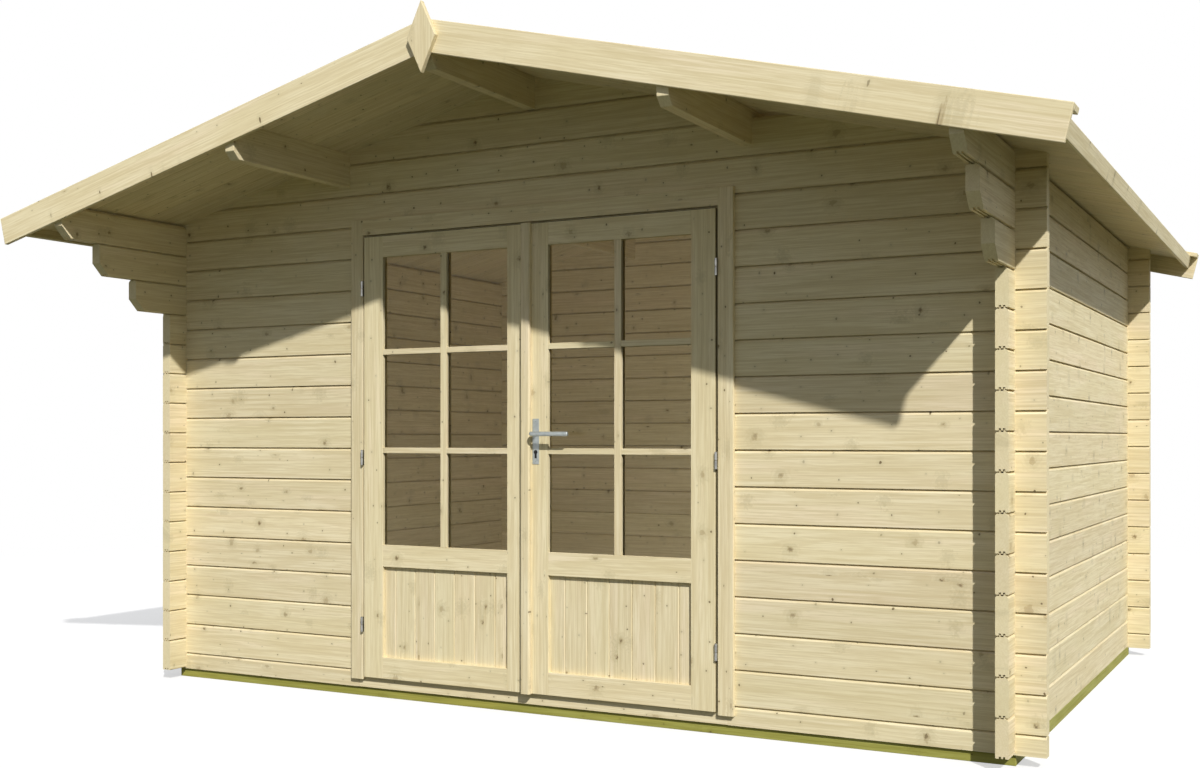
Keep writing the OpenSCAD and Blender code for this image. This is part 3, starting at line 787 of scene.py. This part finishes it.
leaf = {
    "lip": 0.016, "meetingClear": 0.0025, "frameClear": 0.006, "sillClear": 0.0075,
    "ease": 0.0011, "overlap": 0.008, "barEase": 0.0015, "panelVee": 0.0028,
    "firstJoint": 0.075, "boardWidth": 0.0985, "barWidth": 0.030, "crossBar": 0.0235,
    "pale": 0.9, "footRise": 0.0035, "rebate": 0.007, "barDrop": 0.001, "lastBoard": 0.12,
    "boardGap": 0.0003, "shadeSeal": 0.0022, "shadeSealBack": 0.0060, "shadeSealInset": 0.001, "shadeSealRise": 0.002,
    "shadeSealEase": 0.0005, "stripLeft": 0.008, "stripRight": 0.004, "stripBevel": 0.005,
    "stripEase": 0.0012, "upright": 0.01,  # an edge rising more than this is an upright one
}
leafLow, leafHigh = boxOf("right_door_frame")
leafTop = leafHigh.z - doorFrame["headDrop"]
leafFoot = leafLow.z + leaf["footRise"]
paneLow, paneHigh = boxOf("right_door_bars")
panelLow, panelHigh = boxOf("right_door_panel")
lipBack = leafLow.y + leaf["lip"]
coreLow = Vector((leafLow.x + leaf["meetingClear"], lipBack,
                  baseTop + 0.5 * logs["row"] + leaf["sillClear"]))
coreHigh = Vector((boxOf("right_jamb")[0].x - leaf["frameClear"], leafHigh.y,
                   boxOf("door_head_jamb")[0].z - leaf["frameClear"]))


def rebatedBoard(x0, x1, z0, z1, left, right, under, over):
    # the lip in front laps over the frame, the core behind it stays inside the frame; left,
    # right, under and over move the core's sides
    lip = easedBlock((x0, leafLow.y, z0), (x1, lipBack, z1), leaf["ease"])
    low = (max(x0 + left, coreLow.x), lipBack, max(z0 + under, coreLow.z))
    high = (min(x1 + right, coreHigh.x), coreHigh.y, min(z1 + over, coreHigh.z))
    join(lip, easedBlock(low, high, leaf["ease"]))
    return lip


def addLeafBoard(whole, part, side, along, pale=0.0):
    mirrorTo(part, side)
    addBoard(whole, part, along, north, pale)


def buildLeafFrame(side, name):
    xs = (leafLow.x, paneLow.x, paneHigh.x, leafHigh.x - leaf["shadeSeal"])
    top = leafTop - leaf["shadeSeal"]
    panelTop = panelHigh.z - leaf["overlap"]
    panelFoot = panelLow.z + leaf["overlap"]
    whole = bmesh.new()
    step = leaf["rebate"]  # glass and panel are let in from behind
    for x0, x1, left, right in ((xs[0], xs[1], 0, -step), (xs[2], xs[3], step, 0)):
        part = rebatedBoard(x0, x1, leafFoot, top, left, right, 0, 0)
        addLeafBoard(whole, part, side, up, leaf["pale"])
    for z0, z1, under, over in ((leafFoot, panelFoot, 0, -step),
                                (panelTop, paneLow.z, step, -step),
                                (paneHigh.z, top, step, 0)):
        part = rebatedBoard(xs[1], xs[2], z0, z1, -step, step, under, over)
        addLeafBoard(whole, part, side, east, leaf["pale"])
    finishWood(whole, name + "LeafFrame", name + "_door_frame", body=name + "_door")
    # a dark seal down the hinge edge of the lip and along its top, its colour painted shade
    # standing in for the shade inside the gaps round the leaf
    shadeSeal = bmesh.new()
    inset = leaf["shadeSealInset"]
    front, back = leafLow.y + leaf["shadeSealBack"], lipBack - inset
    for low, high in (((xs[3], front, leafFoot + leaf["shadeSealRise"]), (leafHigh.x, back, leafTop)),
                      ((leafLow.x + inset, leafLow.y + inset, top), (xs[3], back, leafTop))):
        join(shadeSeal, easedBlock(low, high, leaf["shadeSealEase"]), side)
    finishPiece(shadeSeal, name + "LeafSealPaintedShade", name + "_door", "gapShade")


def buildGlazingBars(side, name):
    half, crossHalf = leaf["barWidth"] / 2, leaf["crossBar"] / 2
    middle = (paneLow.x + paneHigh.x) / 2
    paneHeight = (paneHigh.z - paneLow.z - 4 * half) / 3
    glassBack = boxOf("right_door_glass")[1].y
    whole = bmesh.new()
    for y0, y1, more in ((paneLow.y, lipBack, 0.0), (glassBack, paneHigh.y, leaf["rebate"])):
        part = easedBlock((middle - half, y0, paneLow.z - more),
                          (middle + half, y1, paneHigh.z + more), leaf["barEase"])
        addLeafBoard(whole, part, side, up)
        for step in (1, 2):
            z = paneLow.z + step * (paneHeight + 2 * half) - half - leaf["barDrop"]
            for x0, x1 in ((paneLow.x - more, middle - half), (middle + half, paneHigh.x + more)):
                part = easedBlock((x0, y0, z - crossHalf), (x1, y1, z + crossHalf),
                                  leaf["barEase"])
                addLeafBoard(whole, part, side, east)
    finishWood(whole, name + "GlazingBars", name + "_door_bars", body=name + "_door")


def uprights(mesh):
    return [edge for edge in mesh.edges
            if abs(edge.verts[0].co.z - edge.verts[1].co.z) > leaf["upright"]]


def buildLeafPanel(side, name):
    # matched boards with a bevelled groove at each joint, on both faces
    edges, gap = [panelLow.x], leaf["boardGap"]
    while edges[-1] < panelHigh.x - leaf["lastBoard"]:
        edges.append(edges[-1] + (leaf["boardWidth"] if len(edges) > 1 else leaf["firstJoint"]))
    edges.append(panelHigh.x)
    whole = bmesh.new()
    for x0, x1 in zip(edges, edges[1:]):
        part = newBlock((x0 + gap, panelLow.y, panelLow.z), (x1 - gap, panelHigh.y, panelHigh.z))
        bevelEdges(part, uprights(part), leaf["panelVee"], 1)
        easeEdges(part, gap, 1)
        addLeafBoard(whole, part, side, up)
    finishWood(whole, name + "LeafPanel", name + "_door_panel", body=name + "_door")


def buildCoverStrip():
    # fixed to the right leaf, it stands over the edge of the left one
    low, high = boxOf("door_cover_strip")
    low = Vector((low.x - leaf["stripLeft"], low.y, low.z + leaf["footRise"] / 2))
    part = newBlock(low, (high.x + leaf["stripRight"], high.y, leafTop))
    bevelEdges(part, [edge for edge in uprights(part)
                      if all(vert.co.y < low.y + tiny for vert in edge.verts)],
               leaf["stripBevel"], 1)
    easeEdges(part, leaf["stripEase"])
    whole = bmesh.new()
    addBoard(whole, part, up, north)
    finishWood(whole, "meetingStrip", "door_cover_strip", body="right_door")


for leafSide, leafName in sides:
    buildLeafFrame(leafSide, leafName)
    buildGlazingBars(leafSide, leafName)
    buildLeafPanel(leafSide, leafName)
    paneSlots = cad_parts[leafName + "_door_glass"].data.materials
    paneSlots.clear()
    paneSlots.append(materials["glass"])
buildCoverStrip()
print("cabin: doors built")


# hinges

hinge = {
    "knuckle": 0.0055, "pin": 0.0025, "half": 0.031, "gap": 0.001, "middle": 0.707,
    "chamfer": 0.0012, "plate": 0.002, "plateEase": 0.0004, "screw": 0.0022,
    "screwShares": (0.27, 0.73), "screwSides": 16, "pinSides": 20,
    "screwSteps": ((0, 0), (1, 0), (1, 0.0002), (0.6, 0.0007), (0, 0.0008)),
    "pinSteps": ((0, -0.002), (1, -0.002), (1, 0.006), (0.5, 0.007), (0, 0.007)),
}
hingeLow, hingeHigh = boxOf("right_door_hinges")
hingeX = hingeHigh.x - hinge["knuckle"]
hingeY = hingeLow.y + hinge["knuckle"]
hingeHeights = (hingeLow.z - hinge["gap"], hingeLow.z - hinge["gap"] + hinge["middle"],
                hingeHigh.z - hinge["half"] - hinge["gap"])


def steppedOutline(radius, steps, base=0.0):
    # steps are (share of the radius, height over the base)
    return [(radius * share, base + height) for share, height in steps]


def knuckleOutline(low, high):
    radius, chamfer = hinge["knuckle"], hinge["chamfer"]
    return [(0, low), (radius - chamfer / 2, low), (radius, low + chamfer / 2),
            (radius, high - chamfer), (radius - chamfer, high), (0, high)]


def addRound(whole, side, points, *steps):
    # a round part on the hinges' axis, at the right or the left leaf
    part = spinOutline(points, *steps)
    bmesh.ops.translate(part, vec=(hingeX, hingeY, 0), verts=part.verts)
    join(whole, part, side)


def addHingeHalf(whole, side, low, high, plateX, plateBack, facing):
    # a knuckle, a plate let in beside it and two countersunk screws
    addRound(whole, side, knuckleOutline(low, high))
    plate = easedBlock((min(plateX), hingeY, low), (max(plateX), plateBack, high),
                       hinge["plateEase"])
    join(whole, plate, side)
    for share in hinge["screwShares"]:
        screw = spinOutline(steppedOutline(hinge["screw"], hinge["screwSteps"]),
                            hinge["screwSides"])
        turnTo(screw, up, north * facing, east * facing,
               (plateX[1], (hingeY + 2 * plateBack) / 3, low + share * (high - low)))
        join(whole, screw, side)


def buildHinges():
    leafBack = hingeHigh.y
    coverEdge = boxOf("right_cover_board")[0].x - doorFrame["coverMore"]
    fixedBack = boxOf("frame_hinges")[1].y
    fixed = bmesh.new()
    for side, name in sides:
        moving = bmesh.new()
        for z in hingeHeights:
            addHingeHalf(moving, side, z + hinge["gap"], z + hinge["gap"] + hinge["half"],
                         (leafHigh.x, leafHigh.x + hinge["plate"]), leafBack, 1)
            addHingeHalf(fixed, side, z - hinge["gap"] - hinge["half"], z - hinge["gap"],
                         (coverEdge, coverEdge - hinge["plate"]), fixedBack, -1)
            addRound(fixed, side, steppedOutline(hinge["pin"], hinge["pinSteps"], z),
                     hinge["pinSides"])
        finishPiece(moving, name + "LeafHinges", name + "_door", "zinc", [name + "_door_hinges"])
    finishPiece(fixed, "frameHinges", "house", "zinc", ["frame_hinges"])


buildHinges()


# handle

handle = {
    "axis": (0.039, 1.116), "keyDrop": 0.072, "plate": 0.002, "corner": 0.003,
    "edge": 0.0006, "keyRadius": 0.0085, "keyWidth": 0.010, "keyHeight": 0.033,
    "bend": 0.012, "tall": 0.018, "thick": 0.015, "collar": 0.012, "screw": 0.0032,
    "innerLength": 0.090, "screwInset": 0.011, "slotShare": 0.8, "slotHalf": 0.0004,
    "slotDepths": (0.00045, 0.00085), "collarEase": 0.0005, "collarRise": (0.0003, 0.0008),
    "lockThick": 0.0014, "lockSunk": 0.0010, "lockEase": 0.0002, "sides": 28, "bendSteps": 10,
    "screwSteps": ((0, -0.0004), (1, -0.0004), (1, 0.0001), (0.75, 0.0006), (0, 0.0008)),
    "tipSteps": ((0.0015, 0.94), (0.0015, 0.82), (0.001, 0.62)), "tipLength": 0.004,
}
leverX, leverZ = handle["axis"]


def keyOutline(radius, width, drop, arcs=14):
    # a round eye over a straight slot
    start = math.asin(width / 2 / radius)
    sweep = [start + (math.tau - 2 * start) * step / arcs for step in range(arcs + 1)]
    eye = [(-radius * math.sin(turn), -radius * math.cos(turn)) for turn in sweep]
    return eye + [(width / 2, -drop), (-width / 2, -drop)]


def addScrewHead(whole, x, y, z, facing):
    head = spinOutline(steppedOutline(handle["screw"], handle["screwSteps"]))
    reach, half = handle["screw"] * handle["slotShare"], handle["slotHalf"]
    sunk, proud = handle["slotDepths"]
    # the screw's slot is a dark bar across the head, painted shade in place of a cut groove
    slotBar = newBlock((-reach, -half, sunk), (reach, half, proud))
    for shape, target in ((head, "metal"), (slotBar, "dark")):
        turnTo(shape, east, up, north * facing, (x, y, z))
        join(whole[target], shape)


def buildPlates():
    low, high = boxOf("handle_plates")
    whole = {"metal": bmesh.new(), "dark": bmesh.new()}
    for y0, facing in ((low.y, -1), (high.y - handle["plate"], 1)):
        part = newBlock((low.x, y0, low.z), (high.x, y0 + handle["plate"], high.z))
        bevelEdges(part, [edge for edge in part.edges
                          if abs(edge.verts[0].co.y - edge.verts[1].co.y) > 0.001],
                   handle["corner"], 4)
        easeEdges(part, handle["edge"])
        join(whole["metal"], part)
        outer = y0 if facing < 0 else y0 + handle["plate"]
        for z in (low.z + handle["screwInset"], high.z - handle["screwInset"]):
            addScrewHead(whole, leverX, outer, z, facing)
        # a collar under the lever
        r, ease, (rim, top) = handle["collar"], handle["collarEase"], handle["collarRise"]
        part = spinOutline([(0, -ease), (r, -ease), (r, rim), (r - ease, top), (0, top)])
        turnTo(part, east, up, north * facing, (leverX, outer, leverZ))
        join(whole["metal"], part)
        # the keyhole: a flat dark piece of keyhole shape, painted shade standing in for the hole of
        # the lock's keyway
        part = extrudeOutline(keyOutline(handle["keyRadius"], handle["keyWidth"],
                                         handle["keyHeight"] - handle["keyRadius"]),
                              handle["lockThick"])
        turnTo(part, north * facing, east, up,
               (leverX, outer - facing * handle["lockSunk"], leverZ - handle["keyDrop"]))
        faceOutward(part)
        easeEdges(part, handle["lockEase"], 1)
        join(whole["dark"], part)
    finishPiece(whole["metal"], "handlePlates", "right_door", "handle", ["handle_plates"])
    finishPiece(whole["dark"], "lockCylinder", "right_door", "lock", ())


def carryRing(mesh, ring, matrix):
    # extrudes an open ring of edges, moves it by the matrix and returns it
    grown = bmesh.ops.extrude_edge_only(mesh, edges=ring)["geom"]
    moved = {item for item in grown if isinstance(item, bmesh.types.BMVert)}
    bmesh.ops.transform(mesh, matrix=matrix, verts=list(moved))
    return [edge for edge in mesh.edges if edge.verts[0] in moved and edge.verts[1] in moved]


def sweepArm(reach, length, facing, root):
    # an oval bar: out from the plate, round a quarter bend and along to a rounded end
    mesh = bmesh.new()
    oval = Matrix.Rotation(math.radians(90), 4, "X") \
        @ Matrix.Diagonal((handle["thick"], handle["tall"], 1, 1))
    bmesh.ops.create_circle(mesh, segments=handle["sides"], radius=0.5, matrix=oval)
    straight = reach - handle["bend"] - handle["thick"] / 2
    steps = handle["bendSteps"]
    turn = Matrix.Rotation(math.radians(90) / steps, 4, "Z")
    centre = Matrix.Translation((handle["bend"], -straight, 0))
    ring = carryRing(mesh, mesh.edges[:], Matrix.Translation((0, -straight, 0)))
    for step in range(steps):
        ring = carryRing(mesh, ring, centre @ turn @ centre.inverted())
    level = Matrix.Translation((0, -straight - handle["bend"], 0))
    bar = length - handle["bend"] - handle["tipLength"]
    for run, shrink in ((bar, 1.0),) + handle["tipSteps"]:
        taper = level @ Matrix.Diagonal((1, shrink, shrink, 1)) @ level.inverted()
        ring = carryRing(mesh, ring, Matrix.Translation((run, 0, 0)) @ taper)
    bmesh.ops.holes_fill(mesh, edges=[edge for edge in mesh.edges if edge.is_boundary], sides=0)
    turnTo(mesh, east, -north * facing, up, root)
    faceOutward(mesh)
    for face in mesh.faces:
        face.smooth = len(face.verts) == 4
    return mesh


def buildLever():
    low, high = boxOf("door_lever")
    plates = boxOf("handle_plates")
    whole = bmesh.new()
    for outer, facing, limit, length in (
            (plates[0].y, -1, low.y, high.x - leverX),
            (plates[1].y, 1, high.y, handle["innerLength"])):
        join(whole, sweepArm(abs(limit - outer), length, facing, (leverX, outer, leverZ)))
    finishPiece(whole, "doorLever", "door_handle", "handle", ["door_lever"])


buildPlates()
buildLever()
print("cabin: hinges and handle built")


# floor, light and camera

stage = {
    "half": 30, "thick": 0.02, "lit": (0.068, 0.076, 0.036, 1), "seen": (0.96, 0.96, 0.96, 1),
    "rough": 0.9, "specular": 0.1, "fade": (3.0, 9.0, 0.55, 1.0),
}


def buildStage():
    half = stage["half"]
    floor = newBlock((-half, -half, -stage["thick"]), (half, half, 0.0))
    piece = placeMesh("studioFloor", floor)
    material, tree, shader = newMaterial("paleFloor")
    seen = backdropRays(tree)
    setInputs(tree, shader, {"Base Color": mixColour(tree, seen, stage["lit"], stage["seen"]),
                             "Roughness": stage["rough"], "Specular IOR Level": stage["specular"]})
    # the floor turns into the white backdrop with distance
    place = addNode(tree, "TexCoord").outputs["Object"]
    away = vectorStep(tree, "LENGTH", place, out=1)
    fade = times(tree, remap(tree, away, *stage["fade"]), seen)
    mixSurfaces(tree, fade, shader, addNode(tree, "Emission"))
    piece.data.materials.append(material)


light = {
    "sunFrom": (0.69, -0.726, 0.79), "sunStrength": 4.10, "sunAngle": 1.1,
    "sunColour": (1.0, 0.99, 0.965), "fill": 0.388, "fillColour": (0.96, 1.00, 1.10, 1),
    "room": (0.35, -0.97, 0.34), "roomAim": (-0.15, 1.0, -0.22), "roomSize": (1.3, 0.5),
    "roomPower": 20.0, "roomColour": (1.0, 0.955, 0.83),
}


def placeLamp(name, kind, power, colour, away):
    # away points from what the lamp shines on to the lamp
    lamp = bpy.data.lights.new(name, kind)
    lamp.energy = power
    lamp.color = colour
    placed = placeObject(name, lamp)
    placed.rotation_euler = Vector(away).to_track_quat("Z", "Y").to_euler()
    return placed


def buildLight():
    key = placeLamp("keyLight", "SUN", light["sunStrength"], light["sunColour"], light["sunFrom"])
    key.data.angle = math.radians(light["sunAngle"])
    room = placeLamp("roomLight", "AREA", light["roomPower"], light["roomColour"],
                     -Vector(light["roomAim"]))  # low behind the doors, lighting the room
    room.data.shape = "RECTANGLE"
    room.data.size, room.data.size_y = light["roomSize"]
    room.location = light["room"]

    world = bpy.data.worlds.new("studio")
    world.use_nodes = True
    tree = world.node_tree
    seen = backdropRays(tree)
    setInputs(tree, tree.nodes["Background"], {
        "Strength": remap(tree, seen, 0.0, 1.0, light["fill"], 1.0, False),
        "Color": mixColour(tree, seen, light["fillColour"], (1, 1, 1, 1))})
    bpy.context.scene.world = world


camera = {"place": (2.868, -4.765, 1.1017), "forward": (-0.4722, 0.8815, 0.0),
          "lens": 41.84, "sensor": 36.0, "rise": 0.0446, "reach": 200.0}


def buildCamera():
    data = bpy.data.cameras.new("viewpoint")
    data.lens = camera["lens"]
    data.sensor_width = camera["sensor"]
    data.shift_y = camera["rise"]
    data.clip_end = camera["reach"]
    viewpoint = placeObject("viewpoint", data)
    x, y, z = camera["place"]
    viewpoint.location = (x, frontFace + y, z)
    viewpoint.rotation_euler = Vector(camera["forward"]).to_track_quat("-Z", "Y").to_euler()
    bpy.context.scene.camera = viewpoint


buildStage()
buildLight()
buildCamera()
bpy.context.scene.view_settings.view_transform = "Standard"
print("cabin: stage, light and camera set")
